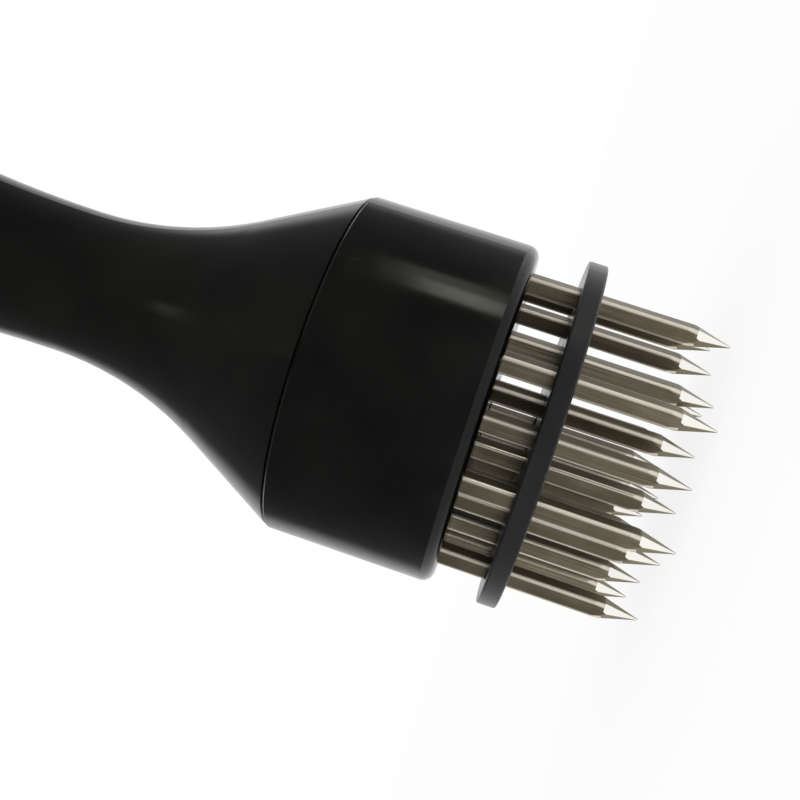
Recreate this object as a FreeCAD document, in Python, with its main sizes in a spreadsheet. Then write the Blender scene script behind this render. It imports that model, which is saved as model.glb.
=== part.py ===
"""Blade meat tenderizer, standing on its needle points with the handle up.

Millimetres. +Z runs up the tool's axis, z = 0 is the plane of the needle points and the
origin is on the axis. The needles' flat faces look along X and Y.
"""
import FreeCAD, Part
import math
import os
from types import SimpleNamespace

import Sketcher

Vector = FreeCAD.Vector

# Driving dimensions in millimetres, and angles in degrees
DIMENSIONS = {
    # Needles: square bars with rounded corners, ground to six facets
    "bar_width": 2.6,
    "bar_corner": 0.5,
    "needle_length": 42.5,
    "facet_angle": 13.5,
    "point_flat": 0.1,
    "needle_head_width": 3.1,
    "needle_head_corner": 0.45,
    "needle_head_height": 1.6,
    # Three rings of needles, the middle one turned half a step
    "inner_ring": 10.3,
    "middle_ring": 15.5,
    "outer_ring": 20.9,
    "ring_step": 45.0,
    # Collar: a cup whose face carries the needle holes
    "mouth_height": 28.0,
    "collar_length": 24.5,
    "collar_radius": 25.0,
    "collar_bore": 23.4,
    "collar_face": 2.5,
    "mouth_round": 1.7,
    "seam_bevel": 0.3,
    "needle_hole": 2.8,
    "hole_bevel": 0.25,
    # Well in the middle of the collar's face for the screw
    "well_bore": 6.2,
    "well_outside": 7.8,
    "well_floor_height": 31.6,
    "well_top_height": 34.1,
    # Needle carrier and the steel disc on its back
    "carrier_radius": 23.3,
    "carrier_hole": 2.64,
    "head_pocket": 3.16,
    "carrier_relief": 8.0,
    "carrier_relief_height": 34.2,
    "backing_radius": 23.2,
    "backing_thickness": 1.5,
    # Centre screw and washer
    "screw_radius": 2.4,
    "screw_clearance": 2.75,
    "screw_end_height": 64.0,
    "screw_point": 2.6,
    "screw_head_radius": 4.8,
    "screw_head_height": 2.5,
    "screw_head_bevel": 0.75,
    "cross_arm": 2.5,
    "cross_width": 1.1,
    "cross_depth": 1.5,
    "washer_radius": 5.7,
    "washer_thickness": 0.7,
    # Handle, from the seam with the collar to its domed end
    "shoulder_radius": 24.7,
    "flare_angle": 28.5,
    "throat_curve": 51.0,
    "neck_radius": 10.8,
    "waist_curve": 190.0,
    "belly_radius": 14.8,
    "belly_height": 148.0,
    "dome_radius": 10.5,
    "overall_height": 198.0,
    # Inside of the bell
    "spigot_radius": 23.3,
    "spigot_bore": 21.3,
    "bell_wall_height": 54.0,
    "bell_roof_radius": 9.4,
    "bell_roof_height": 73.0,
    "boss_radius": 6.0,
    "pilot_radius": 2.45,
    "pilot_top_height": 66.0,
    "rib_thickness": 2.0,
    "rib_foot_height": 46.0,
    # Flattened end with its hanging hole
    "flat_half_width": 6.0,
    "flat_start_height": 183.5,
    "flat_runout": 14.0,
    "hanging_hole_radius": 3.25,
    "hanging_hole_height": 188.0,
    "hanging_hole_round": 0.9,
    "flat_edge_round": 1.0,
    # Stripper plate, where the photograph shows it on the needles
    "plate_radius": 25.4,
    "plate_bottom_height": 18.45,
    "plate_thickness": 2.75,
    "plate_edge_round": 0.3,
    "plate_window": 4.5,
    "window_bevel": 0.4,
}

NEEDLES_PER_RING = 8
RINGS = (("inner_ring", 0.0), ("middle_ring", 0.5), ("outer_ring", 0.0))


class Size:
    """A number together with the sheet formula that gives it."""

    def __init__(self, number, formula=None):
        self.number = number
        self.formula = formula or str(number)

    def __add__(self, other):
        other = as_size(other)
        return Size(self.number + other.number, f"({self.formula} + {other.formula})")

    def __sub__(self, other):
        other = as_size(other)
        return Size(self.number - other.number, f"({self.formula} - {other.formula})")

    def __mul__(self, other):
        other = as_size(other)
        return Size(self.number * other.number, f"({self.formula} * {other.formula})")

    def __truediv__(self, other):
        other = as_size(other)
        return Size(self.number / other.number, f"({self.formula} / {other.formula})")

    def __neg__(self):
        return Size(-self.number, f"(-{self.formula})")


def as_size(value):
    """The value as a Size, whether it is one already or a plain number."""
    return value if isinstance(value, Size) else Size(value)


def sine(degrees):
    return Size(math.sin(math.radians(degrees.number)), f"sin({degrees.formula} * 1deg)")


def cosine(degrees):
    return Size(math.cos(math.radians(degrees.number)), f"cos({degrees.formula} * 1deg)")


def tangent(degrees):
    return Size(math.tan(math.radians(degrees.number)), f"tan({degrees.formula} * 1deg)")


ORIGIN = Size(0)
dim = SimpleNamespace(**{name: Size(number, f"sheet.{name}") for name, number in DIMENSIONS.items()})

# Heights where pieces meet
seam_height = dim.mouth_height + dim.collar_length
face_top_height = dim.mouth_height + dim.collar_face
head_seat_height = dim.needle_length - dim.needle_head_height
backing_top_height = dim.needle_length + dim.backing_thickness
washer_bottom_height = dim.well_floor_height - dim.washer_thickness
screw_face_height = washer_bottom_height - dim.screw_head_height
plate_top_height = dim.plate_bottom_height + dim.plate_thickness

document = FreeCAD.newDocument("meat_tenderizer")


def fill_sheet():
    """Put every driving dimension in the sheet, under its own name."""
    sheet = document.addObject("Spreadsheet::Sheet", "sheet")
    for row, (name, number) in enumerate(DIMENSIONS.items(), start=1):
        sheet.set(f"A{row}", name)
        sheet.set(f"B{row}", str(number))
        sheet.setAlias(f"B{row}", name)
    document.recompute()


def origin_part(body, role):
    """A plane or axis of the body's own origin."""
    return next(part for part in body.Origin.OriginFeatures if part.Role == role)


def new_sketch(body, name, role):
    """A sketch on one of the body's own origin planes."""
    sketch = body.newObject("Sketcher::SketchObject", name)
    sketch.AttachmentSupport = [(origin_part(body, role), "")]
    sketch.MapMode = "FlatFace"
    return sketch


def add_bound(sketch, kind, places, size):
    """Add one dimension to the sketch and bind it to the sheet."""
    index = sketch.addConstraint(Sketcher.Constraint(kind, *places, size.number))
    sketch.setExpression(f"Constraints[{index}]", size.formula)


def place_point(sketch, geometry, end, point):
    """Hold one end of a curve at a distance across and a distance along."""
    add_bound(sketch, "DistanceX", (-1, 1, geometry, end), point[0])
    add_bound(sketch, "DistanceY", (-1, 1, geometry, end), point[1])


def line_between(start, end):
    """A straight line between two points given as pairs of sizes."""
    return Part.LineSegment(*(Vector(across.number, along.number, 0) for across, along in (start, end)))


def draw_outline(sketch, corners):
    """Close a straight-sided outline through its corners."""
    count = len(corners)
    following = corners[1:] + corners[:1]
    sketch.addGeometry([line_between(a, b) for a, b in zip(corners, following)], False)
    sketch.addConstraint([Sketcher.Constraint("Coincident", i, 2, (i + 1) % count, 1) for i in range(count)])
    for i, corner in enumerate(corners):
        place_point(sketch, i, 1, corner)


def turn_round(body, sketch, name):
    """Revolve a section about the tool's axis."""
    turned = body.newObject("PartDesign::Revolution", name)
    turned.Profile = sketch
    turned.ReferenceAxis = (origin_part(body, "Z_Axis"), [""])
    turned.Angle = 360.0
    document.recompute()


def turned_body(label, corners):
    """A body made by revolving a straight-sided section of radius and height."""
    body = document.addObject("PartDesign::Body", label)
    section = new_sketch(body, f"{label}_section", "XZ_Plane")
    draw_outline(section, corners)
    turn_round(body, section, f"{label}_turned")
    return body


def cut_through(body, sketch, name):
    """Pocket a sketch right through the body, both ways."""
    pocket = body.newObject("PartDesign::Pocket", name)
    pocket.Profile = sketch
    pocket.Type = "ThroughAll"
    pocket.Midplane = True
    return pocket


def repeat_round(body, feature, name, count):
    """Repeat a feature round the body's own Z axis."""
    pattern = body.newObject("PartDesign::PolarPattern", name)
    pattern.Originals = [feature]
    pattern.Axis = (origin_part(body, "Z_Axis"), [""])
    pattern.Angle = 360.0
    pattern.Occurrences = count
    body.Tip = pattern
    document.recompute()


def round_rims(body, name, round_size, radius, height=None):
    """Fillet the body's circular edges of one radius, at one height or at any."""
    tip = body.Tip
    edges = []
    for i, edge in enumerate(tip.Shape.Edges, start=1):
        # A dome's pole is an edge with no curve
        if edge.Degenerated or not isinstance(edge.Curve, Part.Circle):
            continue
        right_radius = abs(edge.Curve.Radius - radius.number) < 1e-4
        right_height = height is None or abs(edge.Curve.Center.z - height.number) < 1e-4
        if right_radius and right_height:
            edges.append(f"Edge{i}")
    fillet = body.newObject("PartDesign::Fillet", name)
    fillet.Base = (tip, edges)
    fillet.setExpression("Radius", round_size.formula)
    document.recompute()


def needle_places():
    """Each needle's X and Y, ring by ring."""
    places = []
    for ring, offset in RINGS:
        radius = getattr(dim, ring)
        for i in range(NEEDLES_PER_RING):
            turn = dim.ring_step * (i + offset)
            places.append((radius * sine(turn), -(radius * cosine(turn))))
    return places


def square_posts(name, width, bottom, top):
    """A square post on each needle's place, to cut that needle's hole with."""
    posts = []
    for number, (across, along) in enumerate(needle_places(), start=1):
        post = document.addObject("Part::Box", f"{name}_{number:02d}")
        post.setExpression("Length", width.formula)
        post.setExpression("Width", width.formula)
        post.setExpression("Height", (top - bottom).formula)
        post.setExpression("Placement.Base.x", (across - width / 2).formula)
        post.setExpression("Placement.Base.y", (along - width / 2).formula)
        post.setExpression("Placement.Base.z", bottom.formula)
        posts.append(post)
    group = document.addObject("Part::Compound", name)
    group.Links = posts
    return group


def bevel_holes(label, pierced, size, heights):
    """Bevel the straight edges round the square holes, on the faces at these heights."""
    edges = []
    for number, edge in enumerate(pierced.Shape.Edges, start=1):
        straight = isinstance(edge.Curve, Part.Line)
        levels = [vertex.Point.z for vertex in edge.Vertexes]
        if straight and any(max(abs(z - height.number) for z in levels) < 1e-4 for height in heights):
            edges.append((number, size.number, size.number))
    bevel = document.addObject("Part::Chamfer", label)
    bevel.Base = pierced
    bevel.Edges = edges
    document.recompute()
    return bevel


def cut_away(label, blank, tool):
    """The blank with the tool's shape cut out of it."""
    cut = document.addObject("Part::Cut", label)
    cut.Base = blank
    cut.Tool = tool
    return cut


def rounded_square(body, name, width, corner):
    """A square about the origin with rounded corners."""
    sketch = new_sketch(body, name, "XY_Plane")
    half = width.number / 2
    flat = half - corner.number
    starts = ((-flat, -half), (half, -flat), (flat, half), (-half, flat))
    ends = ((flat, -half), (half, flat), (-flat, half), (-half, -flat))
    sides = [Part.LineSegment(Vector(*start, 0), Vector(*end, 0)) for start, end in zip(starts, ends)]
    sketch.addGeometry(sides, False)
    middles = ((flat, -flat), (flat, flat), (-flat, flat), (-flat, -flat))
    for quarter, middle in enumerate(middles):
        start = math.radians(90 * quarter - 90)
        sketch.addGeometry(arc_about(middle, corner.number, start, start + math.pi / 2), False)
    rules = [Sketcher.Constraint(kind, side) for side, kind in enumerate(("Horizontal", "Vertical") * 2)]
    for side in range(4):
        rules.append(Sketcher.Constraint("Tangent", side, 2, 4 + side, 1))
        rules.append(Sketcher.Constraint("Tangent", 4 + side, 2, (side + 1) % 4, 1))
    rules += [Sketcher.Constraint("Equal", 4, other) for other in (5, 6, 7)]
    rules.append(Sketcher.Constraint("Symmetric", 0, 1, 2, 1, -1, 1))
    sketch.addConstraint(rules)
    add_bound(sketch, "Radius", (4,), corner)
    add_bound(sketch, "DistanceY", (0, 1, 2, 1), width)
    add_bound(sketch, "DistanceX", (3, 1, 1, 1), width)
    return sketch


def arc_about(middle, radius, start, end):
    """Part of a circle, anticlockwise between two directions in radians."""
    circle = Part.Circle(Vector(middle[0], middle[1], 0), Vector(0, 0, 1), radius)
    return Part.ArcOfCircle(circle, start, end)


def pad_up(body, sketch, name, length):
    """Raise a sketch along +Z."""
    pad = body.newObject("PartDesign::Pad", name)
    pad.Profile = sketch
    pad.setExpression("Length", length.formula)


def build_needle(number, place):
    """One needle: a drawn square bar with an upset head, ground to a six-sided point."""
    label = f"needle_{number:02d}"
    body = document.addObject("PartDesign::Body", label)
    bar = rounded_square(body, f"{label}_bar", dim.bar_width, dim.bar_corner)
    pad_up(body, bar, f"{label}_drawn", dim.needle_length)
    head = rounded_square(body, f"{label}_head", dim.needle_head_width, dim.needle_head_corner)
    head.setExpression("AttachmentOffset.Base.z", head_seat_height.formula)
    pad_up(body, head, f"{label}_upset", dim.needle_head_height)

    # One facet looks along +X and the other five follow round the bar
    facet = new_sketch(body, f"{label}_facet", "XZ_Plane")
    outer = dim.point_flat + dim.bar_width
    draw_outline(facet, [
        (dim.point_flat, ORIGIN),
        (outer, ORIGIN),
        (outer, dim.bar_width / tangent(dim.facet_angle)),
    ])
    ground = cut_through(body, facet, f"{label}_ground")
    repeat_round(body, ground, f"{label}_facets", 6)

    across, along = place
    body.setExpression("Placement.Base.x", across.formula)
    body.setExpression("Placement.Base.y", along.formula)
    return body


def build_collar():
    """Moulded cup: rounded mouth, needle holes in its face and a well for the screw."""
    blank = turned_body("collar_blank", [
        (dim.well_bore, dim.mouth_height),
        (dim.collar_radius, dim.mouth_height),
        (dim.collar_radius, seam_height - dim.seam_bevel),
        (dim.collar_radius - dim.seam_bevel, seam_height),
        (dim.collar_bore, seam_height),
        (dim.collar_bore, face_top_height),
        (dim.well_outside, face_top_height),
        (dim.well_outside, dim.well_top_height),
        (dim.screw_clearance, dim.well_top_height),
        (dim.screw_clearance, dim.well_floor_height),
        (dim.well_bore, dim.well_floor_height),
    ])
    round_rims(blank, "mouth_edge", dim.mouth_round, dim.collar_radius, dim.mouth_height)
    holes = square_posts("collar_hole", dim.needle_hole, dim.mouth_height - 1, face_top_height + 1)
    pierced = cut_away("collar_pierced", blank, holes)
    document.recompute()
    return bevel_holes("collar", pierced, dim.hole_bevel, [dim.mouth_height])


def build_carrier():
    """Thick disc that holds the needles upright, with a pocket for each head."""
    blank = turned_body("carrier_blank", [
        (dim.carrier_relief, face_top_height),
        (dim.carrier_radius, face_top_height),
        (dim.carrier_radius, dim.needle_length),
        (dim.screw_clearance, dim.needle_length),
        (dim.screw_clearance, dim.carrier_relief_height),
        (dim.carrier_relief, dim.carrier_relief_height),
    ])
    bars = square_posts("carrier_bar", dim.carrier_hole, face_top_height - 1, dim.needle_length + 1)
    heads = square_posts("carrier_pocket", dim.head_pocket, head_seat_height, dim.needle_length + 1)
    bored = cut_away("carrier_bored", blank, bars)
    return cut_away("needle_carrier", bored, heads)


def build_backing_disc():
    """Pressed steel disc that the needle heads push against."""
    return turned_body("backing_disc", [
        (dim.screw_clearance, dim.needle_length),
        (dim.backing_radius, dim.needle_length),
        (dim.backing_radius, backing_top_height),
        (dim.screw_clearance, backing_top_height),
    ])


def build_washer():
    """Flat washer between the screw's head and the floor of the well."""
    return turned_body("screw_washer", [
        (dim.screw_clearance, washer_bottom_height),
        (dim.washer_radius, washer_bottom_height),
        (dim.washer_radius, dim.well_floor_height),
        (dim.screw_clearance, dim.well_floor_height),
    ])


def build_screw():
    """Long pan-head screw with a cross recess, which holds the collar to the handle."""
    body = turned_body("centre_screw", [
        (ORIGIN, screw_face_height),
        (dim.screw_head_radius - dim.screw_head_bevel * 1.5, screw_face_height),
        (dim.screw_head_radius - dim.screw_head_bevel * 0.5, screw_face_height + dim.screw_head_bevel * 0.5),
        (dim.screw_head_radius, screw_face_height + dim.screw_head_bevel * 1.5),
        (dim.screw_head_radius, washer_bottom_height),
        (dim.screw_radius, washer_bottom_height),
        (dim.screw_radius, dim.screw_end_height - dim.screw_point),
        (ORIGIN, dim.screw_end_height),
    ])

    arm = dim.cross_arm
    side = dim.cross_width / 2
    cross = new_sketch(body, "cross_recess", "XY_Plane")
    cross.setExpression("AttachmentOffset.Base.z", screw_face_height.formula)
    draw_outline(cross, [
        (arm, -side),
        (arm, side),
        (side, side),
        (side, arm),
        (-side, arm),
        (-side, side),
        (-arm, side),
        (-arm, -side),
        (-side, -side),
        (-side, -arm),
        (side, -arm),
        (side, -side),
    ])
    recess = body.newObject("PartDesign::Pocket", "cross_cut")
    recess.Profile = cross
    recess.setExpression("Length", dim.cross_depth.formula)
    recess.Reversed = True
    return body


def build_stripper_plate():
    """Moulded disc that slides on the needles and pushes the meat off them."""
    blank = turned_body("plate_blank", [
        (dim.plate_window, dim.plate_bottom_height + dim.window_bevel),
        (dim.plate_window + dim.window_bevel, dim.plate_bottom_height),
        (dim.plate_radius, dim.plate_bottom_height),
        (dim.plate_radius, plate_top_height),
        (dim.plate_window + dim.window_bevel, plate_top_height),
        (dim.plate_window, plate_top_height - dim.window_bevel),
    ])
    round_rims(blank, "plate_edges", dim.plate_edge_round, dim.plate_radius)
    holes = square_posts("plate_hole", dim.needle_hole, dim.plate_bottom_height - 1, plate_top_height + 1)
    pierced = cut_away("plate_pierced", blank, holes)
    document.recompute()
    return bevel_holes("stripper_plate", pierced, dim.hole_bevel, [dim.plate_bottom_height, plate_top_height])


def draw_grip(sketch):
    """Outside of the handle: flare, throat, waist, swell, tail and dome, each smooth to the next."""
    seam = (seam_height + dim.seam_bevel).number
    slope = math.radians(dim.flare_angle.number)
    throat = dim.throat_curve.number
    neck = dim.neck_radius.number
    waist = dim.waist_curve.number
    belly = dim.belly_radius.number
    belly_height = dim.belly_height.number
    dome = dim.dome_radius.number
    dome_height = (dim.overall_height - dim.dome_radius).number

    # Centres and radii that follow from the smooth joins
    flare_drop = dim.shoulder_radius.number - neck - throat * (1 - math.cos(slope))
    neck_height = seam + throat * math.sin(slope) + flare_drop / math.tan(slope)
    rise = belly_height - neck_height
    swell = ((belly - neck) ** 2 + rise ** 2) / (2 * (belly - neck)) - waist
    waist_turn = math.asin(rise / (waist + swell))
    tail_rise = dome_height - belly_height
    tail = (belly ** 2 + tail_rise ** 2 - dome ** 2) / (2 * (belly - dome))
    tail_turn = math.asin(tail_rise / (tail - dome))
    shoulder = Vector(dim.shoulder_radius.number, seam, 0)
    throat_start = Vector(neck + throat * (1 - math.cos(slope)), neck_height - throat * math.sin(slope), 0)

    sketch.addGeometry([
        Part.LineSegment(shoulder, throat_start),
        arc_about((neck + throat, neck_height), throat, math.pi, math.pi + slope),
        arc_about((neck + waist, neck_height), waist, math.pi - waist_turn, math.pi),
        arc_about((belly - swell, belly_height), swell, -waist_turn, 0.0),
        arc_about((belly - tail, belly_height), tail, 0.0, tail_turn),
        arc_about((0, dome_height), dome, tail_turn, math.pi / 2),
    ], False)
    flare_line, throat_arc, waist_arc, swell_arc, tail_arc, dome_arc = range(6)
    sketch.addConstraint([
        Sketcher.Constraint("Tangent", flare_line, 2, throat_arc, 2),
        Sketcher.Constraint("Tangent", throat_arc, 1, waist_arc, 2),
        Sketcher.Constraint("Tangent", waist_arc, 1, swell_arc, 1),
        Sketcher.Constraint("Tangent", swell_arc, 2, tail_arc, 1),
        Sketcher.Constraint("Tangent", tail_arc, 2, dome_arc, 1),
        Sketcher.Constraint("Horizontal", throat_arc, 1, throat_arc, 3),
        Sketcher.Constraint("Horizontal", swell_arc, 2, swell_arc, 3),
        Sketcher.Constraint("PointOnObject", dome_arc, 3, -2),
        Sketcher.Constraint("PointOnObject", dome_arc, 2, -2),
    ])
    angle = sketch.addConstraint(Sketcher.Constraint("Angle", flare_line, math.pi / 2 + slope))
    sketch.setExpression(f"Constraints[{angle}]", f"90deg + {dim.flare_angle.formula} * 1deg")
    add_bound(sketch, "Radius", (throat_arc,), dim.throat_curve)
    add_bound(sketch, "Radius", (waist_arc,), dim.waist_curve)
    add_bound(sketch, "Radius", (dome_arc,), dim.dome_radius)
    add_bound(sketch, "DistanceX", (-1, 1, throat_arc, 1), dim.neck_radius)
    place_point(sketch, swell_arc, 2, (dim.belly_radius, dim.belly_height))
    add_bound(sketch, "DistanceY", (-1, 1, dome_arc, 2), dim.overall_height)


def close_with_bell(sketch):
    """Inside of the handle: the axis, the pilot hole, the screw boss, the hollow bell and the spigot."""
    inside = [
        (ORIGIN, dim.overall_height),
        (ORIGIN, dim.pilot_top_height),
        (dim.pilot_radius, dim.pilot_top_height),
        (dim.pilot_radius, backing_top_height),
        (dim.boss_radius, backing_top_height),
        (dim.boss_radius, dim.bell_roof_height),
        (dim.bell_roof_radius, dim.bell_roof_height),
        (dim.spigot_bore, dim.bell_wall_height),
        (dim.spigot_bore, backing_top_height),
        (dim.spigot_radius, backing_top_height),
        (dim.spigot_radius, seam_height),
        (dim.shoulder_radius - dim.seam_bevel, seam_height),
        (dim.shoulder_radius, seam_height + dim.seam_bevel),
    ]
    flare_line = 0
    dome_arc = sketch.GeometryCount - 1
    first = sketch.GeometryCount
    sketch.addGeometry([line_between(a, b) for a, b in zip(inside, inside[1:])], False)
    last = sketch.GeometryCount - 1
    joins = [Sketcher.Constraint("Coincident", i, 2, i + 1, 1) for i in range(first, last)]
    joins.append(Sketcher.Constraint("Coincident", dome_arc, 2, first, 1))
    joins.append(Sketcher.Constraint("Coincident", last, 2, flare_line, 1))
    sketch.addConstraint(joins)
    for i, corner in enumerate(inside[1:]):
        place_point(sketch, first + i, 2, corner)


def add_bell_ribs(body):
    """Four ribs from the screw boss to the wall of the bell."""
    inner = dim.boss_radius - 1
    rib = new_sketch(body, "bell_rib", "XZ_Plane")
    draw_outline(rib, [
        (inner, dim.rib_foot_height),
        (dim.spigot_bore + 0.5, dim.rib_foot_height),
        (dim.spigot_bore + 0.5, dim.bell_wall_height),
        (dim.bell_roof_radius + 0.5, dim.bell_roof_height),
        (inner, dim.bell_roof_height),
    ])
    web = body.newObject("PartDesign::Pad", "bell_rib_web")
    web.Profile = rib
    web.Midplane = True
    web.setExpression("Length", dim.rib_thickness.formula)
    repeat_round(body, web, "bell_ribs", 4)


def flatten_end(body):
    """Two flats at the end of the handle, which run out in a curve."""
    width = dim.flat_half_width
    outer = width + dim.flat_runout
    above = dim.overall_height + 1
    start = dim.flat_start_height
    flat = new_sketch(body, "end_flat", "YZ_Plane")
    flat.addGeometry([
        line_between((width, start), (width, above)),
        line_between((width, above), (outer, above)),
        line_between((outer, above), (outer, start - dim.flat_runout)),
        arc_about((outer.number, start.number), dim.flat_runout.number, math.pi, 1.5 * math.pi),
    ], False)
    flat.addConstraint([
        Sketcher.Constraint("Coincident", 0, 2, 1, 1),
        Sketcher.Constraint("Coincident", 1, 2, 2, 1),
        Sketcher.Constraint("Coincident", 2, 2, 3, 2),
        Sketcher.Constraint("Tangent", 3, 1, 0, 1),
        Sketcher.Constraint("Vertical", 0),
        Sketcher.Constraint("Horizontal", 1),
        Sketcher.Constraint("Vertical", 2),
        Sketcher.Constraint("Vertical", 3, 2, 3, 3),
    ])
    add_bound(flat, "Radius", (3,), dim.flat_runout)
    place_point(flat, 0, 1, (width, start))
    add_bound(flat, "DistanceY", (-1, 1, 0, 2), above)
    cut = cut_through(body, flat, "end_flat_cut")
    repeat_round(body, cut, "end_flats", 2)


def bore_hanging_hole(body):
    """The hole that the tool hangs by, square to the flats, with its rims rounded."""
    middle = Vector(0, dim.hanging_hole_height.number, 0)
    hole = new_sketch(body, "hanging_hole", "XZ_Plane")
    hole.addGeometry(Part.Circle(middle, Vector(0, 0, 1), dim.hanging_hole_radius.number), False)
    hole.addConstraint(Sketcher.Constraint("PointOnObject", 0, 3, -2))
    add_bound(hole, "Radius", (0,), dim.hanging_hole_radius)
    add_bound(hole, "DistanceY", (-1, 1, 0, 3), dim.hanging_hole_height)
    body.Tip = cut_through(body, hole, "hanging_bore")
    document.recompute()
    round_rims(body, "hanging_rims", dim.hanging_hole_round, dim.hanging_hole_radius)


def round_flat_edges(body):
    """Round the curved edges where the flats and their runouts meet the grip."""
    tip = body.Tip
    borders = []
    for face in tip.Shape.Faces:
        on_flat = isinstance(face.Surface, Part.Plane) and abs(face.normalAt(0, 0).y) > 0.99
        on_runout = isinstance(face.Surface, Part.Cylinder) and face.Surface.Radius == dim.flat_runout.number
        if on_flat and face.BoundBox.ZMin > dim.belly_height.number or on_runout:
            borders += [edge for edge in face.Edges if isinstance(edge.Curve, Part.BSplineCurve)]
    numbers = [i for i, edge in enumerate(tip.Shape.Edges, start=1) if any(edge.isSame(other) for other in borders)]
    fillet = body.newObject("PartDesign::Fillet", "flat_borders")
    fillet.Base = (tip, [f"Edge{i}" for i in numbers])
    fillet.setExpression("Radius", dim.flat_edge_round.formula)
    document.recompute()


def build_handle():
    """One moulding: spigot and hollow bell below, waisted grip above, flattened end."""
    body = document.addObject("PartDesign::Body", "handle")
    section = new_sketch(body, "handle_section", "XZ_Plane")
    draw_grip(section)
    close_with_bell(section)
    turn_round(body, section, "handle_turned")
    add_bell_ribs(body)
    flatten_end(body)
    round_flat_edges(body)
    bore_hanging_hole(body)
    return body


def check_document():
    """Stop if any feature failed."""
    for item in document.Objects:
        if "Invalid" in item.State or "Error" in item.State:
            raise RuntimeError(f"{item.Label} failed: {item.State}")


def write_parts(nodes):
    """Check every sub-part and write each one to a file with its own name."""
    for node in nodes:
        if node.Shape.isNull() or not node.Shape.isValid():
            raise RuntimeError(f"{node.Label} has no sound shape")
    os.makedirs("parts", exist_ok=True)
    for node in nodes:
        node.Shape.exportStep(f"parts/{node.Label}.step")
        print(f"{node.Label}: {len(node.Shape.Solids)} solid, {node.Shape.Volume:.1f} mm3")


fill_sheet()
nodes = [
    build_handle(),
    build_collar(),
    build_carrier(),
    build_backing_disc(),
    build_screw(),
    build_washer(),
    build_stripper_plate(),
]
nodes += [build_needle(number, place) for number, place in enumerate(needle_places(), start=1)]
document.recompute()
check_document()
write_parts(nodes)
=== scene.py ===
import math

import bmesh
import bpy
from mathutils import Matrix, Vector


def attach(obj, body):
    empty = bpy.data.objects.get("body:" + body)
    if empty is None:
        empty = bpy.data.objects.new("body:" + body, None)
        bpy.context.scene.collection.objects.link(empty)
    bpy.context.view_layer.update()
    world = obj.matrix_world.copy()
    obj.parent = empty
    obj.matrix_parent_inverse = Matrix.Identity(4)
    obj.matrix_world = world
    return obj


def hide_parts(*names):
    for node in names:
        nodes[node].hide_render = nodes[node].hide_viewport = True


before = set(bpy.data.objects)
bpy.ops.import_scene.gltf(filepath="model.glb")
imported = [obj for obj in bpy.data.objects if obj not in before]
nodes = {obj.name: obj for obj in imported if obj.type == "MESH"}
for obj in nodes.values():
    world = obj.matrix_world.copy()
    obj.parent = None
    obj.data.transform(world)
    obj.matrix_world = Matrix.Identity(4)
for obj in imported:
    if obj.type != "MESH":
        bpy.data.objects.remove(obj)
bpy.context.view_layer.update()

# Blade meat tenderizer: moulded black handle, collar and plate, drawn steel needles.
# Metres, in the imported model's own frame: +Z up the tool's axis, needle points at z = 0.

MM = 0.001

# Camera: its focal length in pixels, where the mouth of the collar sits in the photograph, how the axis lies
LENS_PIXELS = 1139.0
IMAGE_PIXELS = 800.0
SENSOR_WIDTH = 36.0
AXIS_SLOPE = math.radians(18.43)
AXIS_TOWARDS_VIEWER = math.radians(5.26)
TURN_ABOUT_AXIS = math.radians(25.48)
MOUTH_IN_VIEW = Vector((12.42, 2.38, 163.46)) * MM
MOUTH_HEIGHT = 28.0 * MM

# How bright the air is: as a fill on the object, and as mirrored in it from the room to the backdrop,
# which meet between two cosines of the angle to the view
FILL_LEVEL = 0.95
ROOM_LEVEL = 0.22
ROOM_TO_BACKDROP = (0.62, 0.78)
WHITE = (1.0, 1.0, 1.0, 1.0)

# Floor: its share of plain white, beside which the rest takes the shadow, and its reach in metres
FLOOR_WHITE = 0.86
FLOOR_REACH = 3.0

# Spots on the object that the lamps face
COLLAR_MIDDLE = Vector((0.0, 0.0, 38.0)) * MM
NECK_FRONT = Vector((6.0, -13.0, 72.0)) * MM
LAMP_TINT = "#fffdee"

# Colours of the needle steel
FACE_DARK = "#696252"
FACE_LIGHT = "#857c6a"
DIE_LINE = "#453f34"
# Painted highlight along the rounded corners of the bars
PAINTED_CORNER_HIGHLIGHT = "#e4dccd"
# Painted shade and painted highlight on alternate facets of the point
PAINTED_SHADED_FACET = "#7b7460"
PAINTED_LIT_FACET = "#fffdf6"

# Needle field, to the sizes that the solids have
BAR_WIDTH = 2.6 * MM
BAR_CORNER = 0.5 * MM
CORNER_STEPS = 5
HEAD_WIDTH = 3.1 * MM
HEAD_HEIGHT = 1.6 * MM
NEEDLE_LENGTH = 42.5 * MM
FACETS = 6
FACET_ANGLE = math.radians(13.5)
POINT_FLAT = 0.1 * MM
HEEL_HEIGHT = 4.75 * MM
NEEDLES_IN_RING = 8
RING_RADII = (10.3 * MM, 15.5 * MM, 20.9 * MM)
RING_NAMES = ("Inner", "Middle", "Outer")
MIDDLE_RING_TURN = math.radians(22.5)

# What the solids don't carry: the wear on the ridges, the play in the holes, and the bands of painted
# highlight along the corners
RIDGE_WEAR = 0.03 * MM
LOOSE_TURN = math.radians(1.4)
LOOSE_SEED = 7
BAND_EDGE = 0.52 * MM
BAND_FULL = 0.20 * MM

bpy.context.scene.view_settings.view_transform = "Standard"

needle_names = sorted(name for name in nodes if name.startswith("needle_") and name != "needle_carrier")


def linear(code):
    """An sRGB hex colour as the linear numbers that a shader takes."""
    channels = (int(code[i:i + 2], 16) / 255.0 for i in (1, 3, 5))
    return tuple(c / 12.92 if c <= 0.04045 else ((c + 0.055) / 1.055) ** 2.4 for c in channels) + (1.0,)


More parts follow.
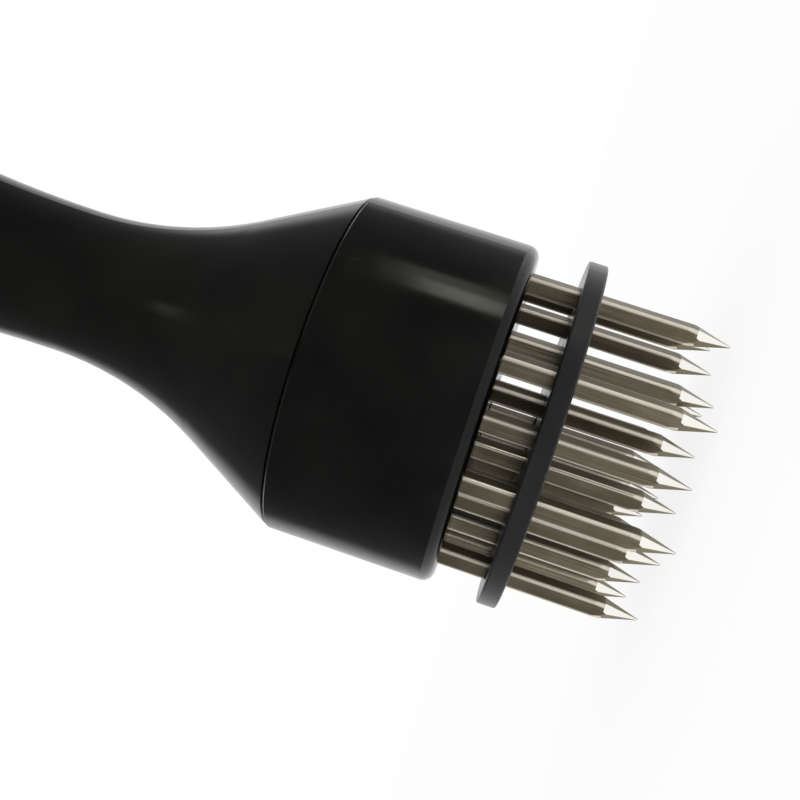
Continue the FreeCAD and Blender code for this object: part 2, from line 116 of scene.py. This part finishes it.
def add_node(tree, kind, inputs=None, **settings):
    """Add a node. An input takes a value, a socket, or a node, whose first output in use is linked."""
    node = tree.nodes.new(kind)
    for name, setting in settings.items():
        setattr(node, name, setting)
    for key, source in (inputs or {}).items():
        socket = next(s for i, s in enumerate(node.inputs) if key == i or (s.enabled and s.name == key))
        if isinstance(source, bpy.types.Node):
            source = next(output for output in source.outputs if output.enabled)
        if isinstance(source, bpy.types.NodeSocket):
            tree.links.new(source, socket)
        else:
            socket.default_value = source
    return node


def new_material(name):
    """An empty material and its node tree."""
    material = bpy.data.materials.new(name)
    material.use_nodes = True
    material.node_tree.nodes.clear()
    return material, material.node_tree


def black_moulding(name, dark, light, roughness, specular, grain_depth):
    """Injection-moulded plastic: near black and glossy, slow waves where it sank, and fine dull scuffs."""
    material, tree = new_material(name)
    place = add_node(tree, "ShaderNodeTexCoord").outputs["Object"]
    # The real spark-eroded grain is 0.05 mm across, drawn at 0.22 mm so that it shows. The waves of the
    # flow are about 9 mm apart, handling clouds the gloss every 14 mm, and the scuffs are 0.5 mm wide.
    grain = add_node(tree, "ShaderNodeTexNoise", {"Vector": place, "Scale": 1 / (0.22 * MM), "Detail": 1.0})
    waves = add_node(tree, "ShaderNodeTexNoise", {"Vector": place, "Scale": 1 / (9.0 * MM), "Detail": 1.0})
    clouds = add_node(tree, "ShaderNodeTexNoise", {"Vector": place, "Scale": 1 / (14.0 * MM), "Detail": 3.0})
    along = add_node(tree, "ShaderNodeMapping", {"Vector": place, "Scale": (1.0, 1.0, 1 / 14)})
    scuffs = add_node(tree, "ShaderNodeTexNoise",
                      {"Vector": along, "Scale": 1 / (0.5 * MM), "Roughness": 0.6})

    patches = add_node(tree, "ShaderNodeMapRange", {"Value": clouds, "From Min": 0.35, "From Max": 0.65})
    tint = add_node(tree, "ShaderNodeMix", {"Factor": patches, "A": linear(dark), "B": linear(light)},
                    data_type="RGBA")
    polish = add_node(tree, "ShaderNodeMapRange", {"Value": clouds, "From Min": 0.3, "From Max": 0.7,
                                                   "To Min": roughness - 0.04, "To Max": roughness + 0.07})
    dulled = add_node(tree, "ShaderNodeMapRange", {"Value": scuffs, "From Min": 0.66, "From Max": 0.76,
                                                   "To Max": 0.08})
    sheen = add_node(tree, "ShaderNodeMath", {0: polish, 1: dulled}, operation="ADD")
    broad = add_node(tree, "ShaderNodeBump", {"Height": waves, "Strength": 0.35, "Distance": 0.12 * MM})
    fine = add_node(tree, "ShaderNodeBump", {"Height": grain, "Normal": broad, "Strength": grain_depth,
                                             "Distance": 0.02 * MM})
    shader = add_node(tree, "ShaderNodeBsdfPrincipled",
                      {"Base Color": tint, "Roughness": sheen, "Normal": fine,
                       "IOR": 1.53, "Specular IOR Level": specular})
    add_node(tree, "ShaderNodeOutputMaterial", {"Surface": shader})
    return material


def needle_steel():
    """Cold-drawn stainless bar: lined brown-grey faces, a painted highlight along the corners, and a ground
    point with painted highlight and painted shade on alternate facets.
    """
    material, tree = new_material("drawn_stainless_needle")
    place = add_node(tree, "ShaderNodeAttribute", attribute_name="needle_place").outputs["Vector"]
    tone = add_node(tree, "ShaderNodeAttribute", attribute_name="needle_tone").outputs["Fac"]
    ground_and_lit_facet = add_node(tree, "ShaderNodeAttribute", attribute_name="ground_and_lit_facet").outputs["Vector"]
    ground, lit_facet = add_node(tree, "ShaderNodeSeparateXYZ", {"Vector": ground_and_lit_facet}).outputs[:2]
    # Each needle shifts its patterns by its own tone, so that no two are alike
    shift = add_node(tree, "ShaderNodeMath", {0: tone, 1: 0.1}, operation="MULTIPLY")
    own_place = add_node(tree, "ShaderNodeVectorMath", {0: place, 1: shift}, operation="ADD")

    # Die lines run along the bar and grinding lines across it. Both are about 0.02 mm apart in a real
    # one, drawn at 0.09 and 0.07 mm so that they show. The oxide film clouds every 4 mm.
    lengthwise = add_node(tree, "ShaderNodeMapping", {"Vector": own_place, "Scale": (1.0, 1.0, 1 / 160)})
    die_lines = add_node(tree, "ShaderNodeTexNoise", {"Vector": lengthwise, "Scale": 1 / (0.09 * MM)})
    crosswise = add_node(tree, "ShaderNodeMapping", {"Vector": own_place, "Scale": (1 / 12, 1 / 12, 1.0)})
    grinding = add_node(tree, "ShaderNodeTexNoise", {"Vector": crosswise, "Scale": 1 / (0.07 * MM)})
    film = add_node(tree, "ShaderNodeTexNoise", {"Vector": own_place, "Scale": 1 / (4.0 * MM), "Detail": 3.0})

    # A band of painted highlight runs along each rounded corner, brighter than the flat faces
    across_x, across_y = add_node(tree, "ShaderNodeSeparateXYZ", {"Vector": place}).outputs[:2]
    side_x = add_node(tree, "ShaderNodeMath", {0: across_x}, operation="ABSOLUTE")
    side_y = add_node(tree, "ShaderNodeMath", {0: across_y}, operation="ABSOLUTE")
    difference = add_node(tree, "ShaderNodeMath", {0: side_x, 1: side_y}, operation="SUBTRACT")
    from_corner = add_node(tree, "ShaderNodeMath", {0: difference}, operation="ABSOLUTE")
    corner_highlight = add_node(tree, "ShaderNodeMapRange", {"Value": from_corner, "From Min": BAND_EDGE,
                                                      "From Max": BAND_FULL})

    # The drawn faces keep a thin brown oxide, a little different on every needle
    oxide = add_node(tree, "ShaderNodeMix", {"Factor": 0.4, "A": film, "B": tone})
    browned = add_node(tree, "ShaderNodeMapRange", {"Value": oxide, "From Min": 0.3, "From Max": 0.7})
    faces = add_node(tree, "ShaderNodeMix",
                     {"Factor": browned, "A": linear(FACE_DARK), "B": linear(FACE_LIGHT)}, data_type="RGBA")
    scored = add_node(tree, "ShaderNodeMapRange", {"Value": die_lines, "From Min": 0.35, "From Max": 0.7,
                                                   "To Max": 0.5})
    lined = add_node(tree, "ShaderNodeMix", {"Factor": scored, "A": faces, "B": linear(DIE_LINE)},
                     data_type="RGBA")
    drawn = add_node(tree, "ShaderNodeMix", {"Factor": corner_highlight, "A": lined, "B": linear(PAINTED_CORNER_HIGHLIGHT)},
                     data_type="RGBA")

    # Every second facet is painted near white as a highlight, and the others darker as painted shade
    facets = add_node(tree, "ShaderNodeMix", {"Factor": lit_facet, "A": linear(PAINTED_SHADED_FACET),
                                              "B": linear(PAINTED_LIT_FACET)}, data_type="RGBA")
    colour = add_node(tree, "ShaderNodeMix", {"Factor": ground, "A": drawn, "B": facets}, data_type="RGBA")
    drawn_rough = add_node(tree, "ShaderNodeMapRange", {"Value": die_lines, "From Min": 0.3, "From Max": 0.7,
                                                        "To Min": 0.24, "To Max": 0.38})
    roughness = add_node(tree, "ShaderNodeMix", {"Factor": ground, "A": drawn_rough, "B": 0.14})
    lines = add_node(tree, "ShaderNodeMix", {"Factor": ground, "A": die_lines, "B": grinding})
    bump = add_node(tree, "ShaderNodeBump", {"Height": lines, "Strength": 0.25, "Distance": 0.01 * MM})
    shader = add_node(tree, "ShaderNodeBsdfPrincipled", {"Base Color": colour, "Roughness": roughness,
                                                         "Normal": bump, "Metallic": 1.0})
    add_node(tree, "ShaderNodeOutputMaterial", {"Surface": shader})
    return material


def rounded_square(width, corner):
    """Points round a square with rounded corners."""
    flat = width / 2 - corner
    points = []
    for quarter in range(4):
        middle = math.radians(45 + 90 * quarter)
        centre = Vector((math.cos(middle), math.sin(middle))) * flat * math.sqrt(2)
        for step in range(CORNER_STEPS + 1):
            turn = math.radians(90 * quarter + 90 * step / CORNER_STEPS)
            points.append(centre + Vector((math.cos(turn), math.sin(turn))) * corner)
    return points


def cut(shape, place, normal, drop_beyond):
    """Cut a shape across with a plane, and drop what is beyond it or keep both sides."""
    everything = shape.verts[:] + shape.edges[:] + shape.faces[:]
    bmesh.ops.bisect_plane(shape, geom=everything, plane_co=place, plane_no=normal, clear_outer=drop_beyond)


def cut_facet(shape, turn):
    """Grind one leaning facet and close the cut."""
    across = Vector((math.cos(turn), math.sin(turn), 0.0))
    normal = across * math.cos(FACET_ANGLE) - Vector((0.0, 0.0, math.sin(FACET_ANGLE)))
    cut(shape, across * POINT_FLAT, normal, True)
    bmesh.ops.holes_fill(shape, edges=[edge for edge in shape.edges if edge.is_boundary], sides=0)


def needle_blank():
    """One needle at the origin: an upset head, a rounded square bar and a six-sided ground point."""
    shape = bmesh.new()
    shoulder = NEEDLE_LENGTH - HEAD_HEIGHT
    levels = ((0.0, BAR_WIDTH), (shoulder, BAR_WIDTH), (shoulder, HEAD_WIDTH), (NEEDLE_LENGTH, HEAD_WIDTH))
    loops = [[shape.verts.new((*point, height)) for point in rounded_square(width, BAR_CORNER)]
             for height, width in levels]
    count = len(loops[0])
    for lower, upper in zip(loops, loops[1:]):
        for i in range(count):
            shape.faces.new((lower[i], lower[(i + 1) % count], upper[(i + 1) % count], upper[i]))
    shape.faces.new(loops[0][::-1])
    shape.faces.new(loops[-1])

    for i in range(FACETS):
        cut_facet(shape, math.radians(360 / FACETS * i))
    shape.normal_update()
    # Ridges are the edges between two facets, which both lean a little downwards
    between_facets = [edge for edge in shape.edges
                      if all(-0.4 < face.normal.z < -0.1 for face in edge.link_faces)]
    ridges = [edge for edge in between_facets if edge.calc_face_angle() > 0.5]
    bmesh.ops.bevel(shape, geom=ridges, offset=RIDGE_WEAR, segments=1, affect="EDGES", clamp_overlap=True)
    # The heel is where the grinder stopped: a line square to the bar
    cut(shape, (0.0, 0.0, HEEL_HEIGHT), (0.0, 0.0, 1.0), False)
    shape.normal_update()

    # For each face: whether it is ground, and how far it takes the painted highlight of the lit facets rather
    # than the painted shade of the others
    ground_and_lit_facet = shape.faces.layers.float_vector.new("ground_and_lit_facet")
    for face in shape.faces:
        lean = face.normal
        height = face.calc_center_median().z
        ground = 1.0 if lean.z < -0.1 and height < HEEL_HEIGHT else 0.0
        azimuth = math.atan2(lean.x, -lean.y)
        lit_facet = min(max(0.5 + 1.5 * math.sin(FACETS / 2 * azimuth), 0.0), 1.0)
        face[ground_and_lit_facet] = Vector((ground, lit_facet, 0.0))
    mesh = bpy.data.meshes.new("needle_blank")
    shape.to_mesh(mesh)
    shape.free()
    return mesh


def needle_field_tree():
    """Three rings of points, each point carrying a needle that is turned a little its own way."""
    tree = bpy.data.node_groups.new("needle_field", "GeometryNodeTree")
    inputs = [("Geometry", "Geometry"), ("Needles in a ring", "Int")]
    inputs += [(f"{ring} radius", "Float") for ring in RING_NAMES]
    inputs += [("Middle turn", "Float"), ("Loose turn", "Float"), ("Seed", "Int"), ("Material", "Material")]
    for name, kind in inputs:
        tree.interface.new_socket(name, in_out="INPUT", socket_type=f"NodeSocket{kind}")
    tree.interface.new_socket("Geometry", in_out="OUTPUT", socket_type="NodeSocketGeometry")
    sizes = add_node(tree, "NodeGroupInput").outputs

    rings = add_node(tree, "GeometryNodeJoinGeometry")
    for ring in RING_NAMES:
        points = add_node(tree, "GeometryNodeMeshCircle",
                          {"Vertices": sizes["Needles in a ring"], "Radius": sizes[f"{ring} radius"]})
        if ring == "Middle":
            turn = add_node(tree, "ShaderNodeCombineXYZ", {"Z": sizes["Middle turn"]})
            points = add_node(tree, "GeometryNodeTransform", {"Geometry": points, "Rotation": turn})
        tree.links.new(points.outputs[0], rings.inputs[0])

    own_place = add_node(tree, "GeometryNodeInputPosition")
    needle = add_node(tree, "GeometryNodeStoreNamedAttribute",
                      {"Geometry": sizes["Geometry"], "Name": "needle_place", "Value": own_place},
                      data_type="FLOAT_VECTOR", domain="POINT")
    back = add_node(tree, "ShaderNodeMath", {0: sizes["Loose turn"], 1: -1.0}, operation="MULTIPLY")
    loose = add_node(tree, "FunctionNodeRandomValue",
                     {"Min": back, "Max": sizes["Loose turn"], "Seed": sizes["Seed"]}, data_type="FLOAT")
    spin = add_node(tree, "ShaderNodeCombineXYZ", {"Z": loose})
    placed = add_node(tree, "GeometryNodeInstanceOnPoints",
                      {"Points": rings, "Instance": needle, "Rotation": spin})
    tone = add_node(tree, "FunctionNodeRandomValue", {"Seed": sizes["Seed"]}, data_type="FLOAT")
    toned = add_node(tree, "GeometryNodeStoreNamedAttribute",
                     {"Geometry": placed, "Name": "needle_tone", "Value": tone},
                     data_type="FLOAT", domain="INSTANCE")
    real = add_node(tree, "GeometryNodeRealizeInstances", {"Geometry": toned})
    finished = add_node(tree, "GeometryNodeSetMaterial", {"Geometry": real, "Material": sizes["Material"]})
    add_node(tree, "NodeGroupOutput", {"Geometry": finished})
    return tree


def grow(name, mesh, tree, settings):
    """Run a Geometry Nodes tree on a mesh and keep the result as a plain piece."""
    holder = bpy.data.objects.new(f"{name}_holder", mesh)
    bpy.context.scene.collection.objects.link(holder)
    modifier = holder.modifiers.new("nodes", "NODES")
    modifier.node_group = tree
    sockets = tree.interface.items_tree
    identifiers = {socket.name: socket.identifier for socket in sockets if socket.in_out == "INPUT"}
    for setting, value in settings.items():
        modifier[identifiers[setting]] = value
    graph = bpy.context.evaluated_depsgraph_get()
    grown = holder.evaluated_get(graph)
    plain = bpy.data.meshes.new_from_object(grown, preserve_all_data_layers=True, depsgraph=graph)
    bpy.data.objects.remove(holder)
    plain.name = name
    piece = bpy.data.objects.new(name, plain)
    bpy.context.scene.collection.objects.link(piece)
    return piece


def add_needles(material):
    """The needle field stands for all the solids of the needles."""
    settings = {f"{ring} radius": radius for ring, radius in zip(RING_NAMES, RING_RADII)}
    settings |= {"Needles in a ring": NEEDLES_IN_RING, "Middle turn": MIDDLE_RING_TURN,
                 "Loose turn": LOOSE_TURN, "Seed": LOOSE_SEED, "Material": material}
    piece = grow("needles", needle_blank(), needle_field_tree(), settings)
    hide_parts(*needle_names)
    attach(piece, "tool")


def sheet_steel(name, dark, light, roughness):
    """Rolled or plated steel: an even pale metal with faint lines from the rolls, drawn 0.15 mm apart."""
    material, tree = new_material(name)
    place = add_node(tree, "ShaderNodeTexCoord").outputs["Object"]
    rolled = add_node(tree, "ShaderNodeMapping", {"Vector": place, "Scale": (1.0, 1 / 60, 1 / 60)})
    lines = add_node(tree, "ShaderNodeTexNoise", {"Vector": rolled, "Scale": 1 / (0.15 * MM)})
    tint = add_node(tree, "ShaderNodeMix", {"Factor": lines, "A": linear(dark), "B": linear(light)},
                    data_type="RGBA")
    sheen = add_node(tree, "ShaderNodeMapRange", {"Value": lines, "From Min": 0.3, "From Max": 0.7,
                                                  "To Min": roughness - 0.05, "To Max": roughness + 0.08})
    bump = add_node(tree, "ShaderNodeBump", {"Height": lines, "Strength": 0.15, "Distance": 0.01 * MM})
    shader = add_node(tree, "ShaderNodeBsdfPrincipled", {"Base Color": tint, "Roughness": sheen,
                                                         "Normal": bump, "Metallic": 1.0})
    add_node(tree, "ShaderNodeOutputMaterial", {"Surface": shader})
    return material


def paint(names, material):
    """Give CAD nodes their material."""
    for name in names:
        for slot in nodes[name].material_slots:
            slot.material = material


def make_world(backdrop):
    """White to the eye, an even fill on the object, and a room that mirrors dimmer than the backdrop."""
    world = bpy.data.worlds.new("studio_air")
    bpy.context.scene.world = world
    world.use_nodes = True
    tree = world.node_tree
    tree.nodes.clear()
    path = add_node(tree, "ShaderNodeLightPath").outputs
    direction = add_node(tree, "ShaderNodeTexCoord").outputs["Generated"]
    facing = add_node(tree, "ShaderNodeVectorMath", {0: direction, 1: backdrop}, operation="DOT_PRODUCT")
    mirrored = add_node(tree, "ShaderNodeMapRange", {"Value": facing, "From Min": ROOM_TO_BACKDROP[0],
                                                     "From Max": ROOM_TO_BACKDROP[1], "To Min": ROOM_LEVEL})
    lit = add_node(tree, "ShaderNodeMix", {"Factor": path["Is Glossy Ray"], "A": FILL_LEVEL, "B": mirrored})
    seen = add_node(tree, "ShaderNodeMath", {0: path["Is Camera Ray"], 1: path["Is Transmission Ray"]},
                    operation="MAXIMUM")
    level = add_node(tree, "ShaderNodeMix", {"Factor": seen, "A": lit, "B": 1.0})
    background = add_node(tree, "ShaderNodeBackground", {"Color": WHITE, "Strength": level})
    add_node(tree, "ShaderNodeOutputWorld", {"Surface": background})


def make_floor():
    """Matt white paper that the needle points stand on: plain to the eye, with a soft shadow."""
    mesh = bpy.data.meshes.new("studio_floor")
    corners = [(x * FLOOR_REACH, y * FLOOR_REACH, 0.0) for x, y in ((-1, -1), (1, -1), (1, 1), (-1, 1))]
    mesh.from_pydata(corners, [], [(0, 1, 2, 3)])
    floor = bpy.data.objects.new("studio_floor", mesh)
    bpy.context.scene.collection.objects.link(floor)
    material, tree = new_material("white_paper_sweep")
    path = add_node(tree, "ShaderNodeLightPath").outputs
    direct = add_node(tree, "ShaderNodeMath", {0: path["Is Camera Ray"], 1: path["Is Glossy Ray"]},
                      operation="MAXIMUM")
    seen = add_node(tree, "ShaderNodeMath", {0: direct, 1: path["Is Transmission Ray"]}, operation="MAXIMUM")
    share = add_node(tree, "ShaderNodeMath", {0: seen, 1: FLOOR_WHITE}, operation="MULTIPLY")
    paper = add_node(tree, "ShaderNodeBsdfDiffuse", {"Color": linear("#fbfbfb")})
    glow = add_node(tree, "ShaderNodeEmission", {"Color": WHITE, "Strength": 1.0})
    both = add_node(tree, "ShaderNodeMixShader", {0: share, 1: paper, 2: glow})
    add_node(tree, "ShaderNodeOutputMaterial", {"Surface": both})
    mesh.materials.append(material)


def view_axes():
    """The turn that takes the view's right, down and forward directions into the model's frame."""
    slope, lean = AXIS_SLOPE, AXIS_TOWARDS_VIEWER
    down_tool = Vector((math.cos(slope) * math.cos(lean), math.sin(slope) * math.cos(lean), -math.sin(lean)))
    across = Vector((-math.sin(slope), math.cos(slope), 0.0))
    deep = down_tool.cross(across)
    z = -down_tool
    y = math.cos(TURN_ABOUT_AXIS) * deep - math.sin(TURN_ABOUT_AXIS) * across
    x = y.cross(z)
    return Matrix((x, y, z))


def make_camera():
    """The photograph's view: needles to the right, the handle running out to the left."""
    to_model = view_axes()
    camera = bpy.data.cameras.new("view")
    camera.sensor_width = SENSOR_WIDTH
    camera.lens = LENS_PIXELS / IMAGE_PIXELS * SENSOR_WIDTH
    camera.clip_start = 5.0 * MM
    camera.clip_end = 20.0
    holder = bpy.data.objects.new("view", camera)
    bpy.context.scene.collection.objects.link(holder)
    # A camera looks along its own -Z with +Y up
    upright = to_model @ Matrix(((1, 0, 0), (0, -1, 0), (0, 0, -1)))
    place = to_model @ -MOUTH_IN_VIEW + Vector((0.0, 0.0, MOUTH_HEIGHT))
    holder.matrix_world = Matrix.Translation(place) @ upright.to_4x4()
    bpy.context.scene.camera = holder
    return to_model


def add_softbox(name, place, aim, width, height, brightness):
    """A soft rectangular lamp. Its brightness counts in multiples of the white backdrop's."""
    lamp = bpy.data.lights.new(name, "AREA")
    lamp.shape = "RECTANGLE"
    lamp.size = width
    lamp.size_y = height
    lamp.energy = brightness * math.pi * width * height
    lamp.color = linear(LAMP_TINT)[:3]
    holder = bpy.data.objects.new(name, lamp)
    bpy.context.scene.collection.objects.link(holder)
    turn = (place - aim).to_track_quat("Z", "Y").to_matrix().to_4x4()
    holder.matrix_world = Matrix.Translation(place) @ turn


to_model = make_camera()
make_world(to_model @ Vector((0.0, 0.0, 1.0)))
make_floor()

# The window draws the pale band along the collar, and its haze the fainter light beside the band
add_softbox("window", Vector((620.0, 30.0, 73.0)) * MM, COLLAR_MIDDLE,
            width=0.10, height=0.06, brightness=5.4)
add_softbox("window_haze", Vector((612.0, 118.0, 86.0)) * MM, COLLAR_MIDDLE,
            width=0.10, height=0.07, brightness=1.7)
# A small lamp overhead leaves a soft spot on the neck
add_softbox("overhead_softbox", Vector((140.0, -282.0, 592.0)) * MM, NECK_FRONT,
            width=0.09, height=0.09, brightness=0.9)

# ABS from a polished mould: deep black with clear reflections
polished = black_moulding("abs_black_handle", "#080807", "#12110f",
                          roughness=0.15, specular=0.20, grain_depth=0.12)
paint(["handle", "collar"], polished)
# ABS from a grained mould: a softer, greyer black
grained = black_moulding("abs_black_plate", "#0f0f0e", "#1b1c1c",
                         roughness=0.26, specular=0.24, grain_depth=0.55)
paint(["stripper_plate"], grained)
# Nylon, left as moulded: a dull black
nylon = black_moulding("nylon_black_carrier", "#141414", "#191919",
                       roughness=0.5, specular=0.3, grain_depth=0.3)
paint(["needle_carrier"], nylon)
add_needles(needle_steel())
# Steel sheet straight from the rolls: grey and a little dull
rolled = sheet_steel("rolled_steel_disc", "#8d8c88", "#a5a4a0", roughness=0.34)
paint(["backing_disc"], rolled)
# Zinc plating: paler and brighter than bare steel
plated = sheet_steel("zinc_plated_screw", "#a9aaa8", "#bdbebb", roughness=0.25)
paint(["centre_screw", "screw_washer"], plated)
